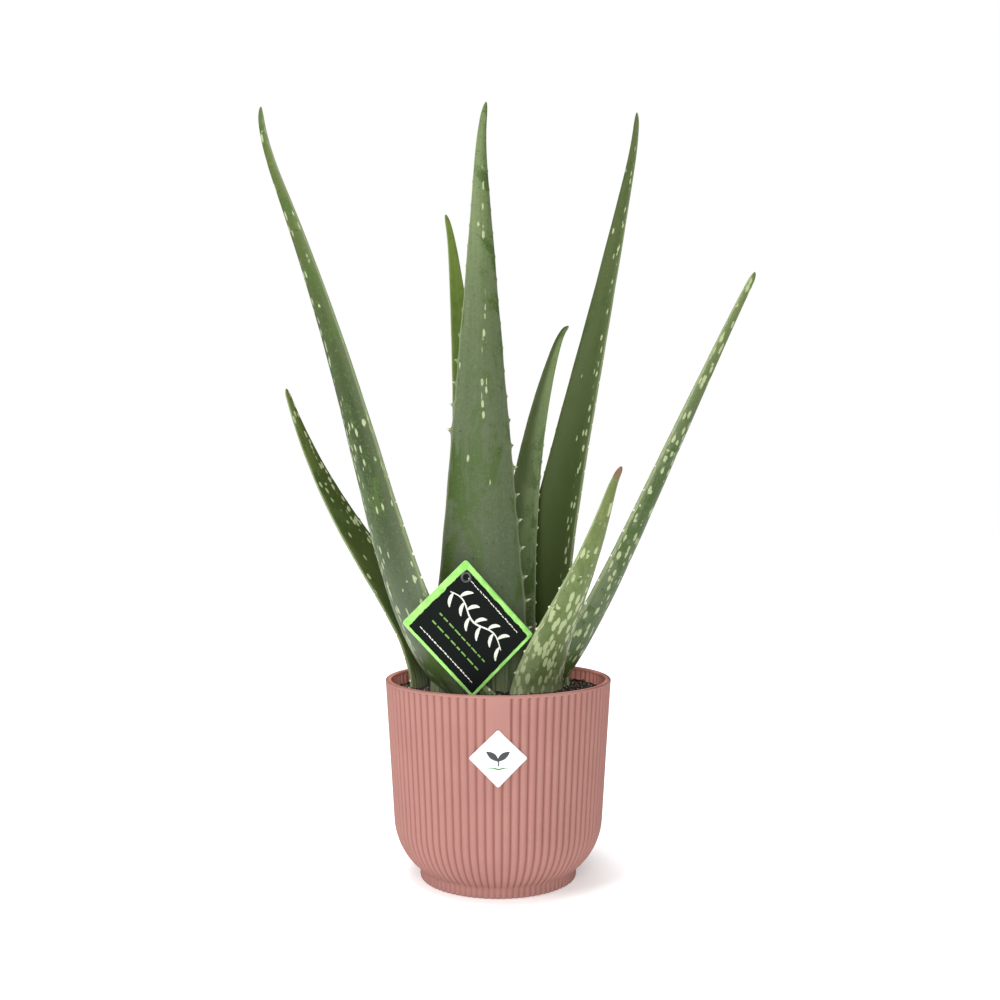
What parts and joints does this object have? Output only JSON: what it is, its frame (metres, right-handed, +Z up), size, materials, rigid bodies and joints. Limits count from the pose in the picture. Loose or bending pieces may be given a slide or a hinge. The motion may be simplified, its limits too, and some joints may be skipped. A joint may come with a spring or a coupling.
{
  "type": "potted aloe plant",
  "caption": "Potted aloe: upright tapering toothed leaves on a short stem in soil, in a ribbed tapering pot with a front sticker and a printed card label.",
  "frame": {"origin": "centre of the pot's underside, on the surface it stands on", "axes": "+Z up; -Y is the front, where the sticker and the label are"},
  "size_m": [0.2963, 0.1953, 0.4983],
  "materials": {
    "pot": "fine matte ribbed plastic, dusty rose",
    "soil": "moist dark peat with pale specks",
    "leaf": "waxy grey-green with a pale bloom and spots",
    "young_leaf": "waxy fresh green",
    "stem": "fibrous pale green",
    "root": "dry tan root",
    "label": "satin printed card with a green border",
    "sticker": "white coated paper"
  },
  "bodies": {
    "root": {"cover_pot": "pot", "soil": "soil", "stem": "stem", "root_1": "root", "root_2": "root", "root_3": "root", "root_4": "root", "root_5": "root", "young_leaf": "young_leaf", "front_tall_leaf": "leaf", "back_left_leaf": "leaf", "right_tall_leaf": "leaf", "front_right_leaf": "leaf", "left_tall_leaf": "leaf", "right_outer_leaf": "leaf", "left_short_leaf": "leaf", "plant_label": "label", "pot_sticker": "sticker"}
  },
  "joints": []
}
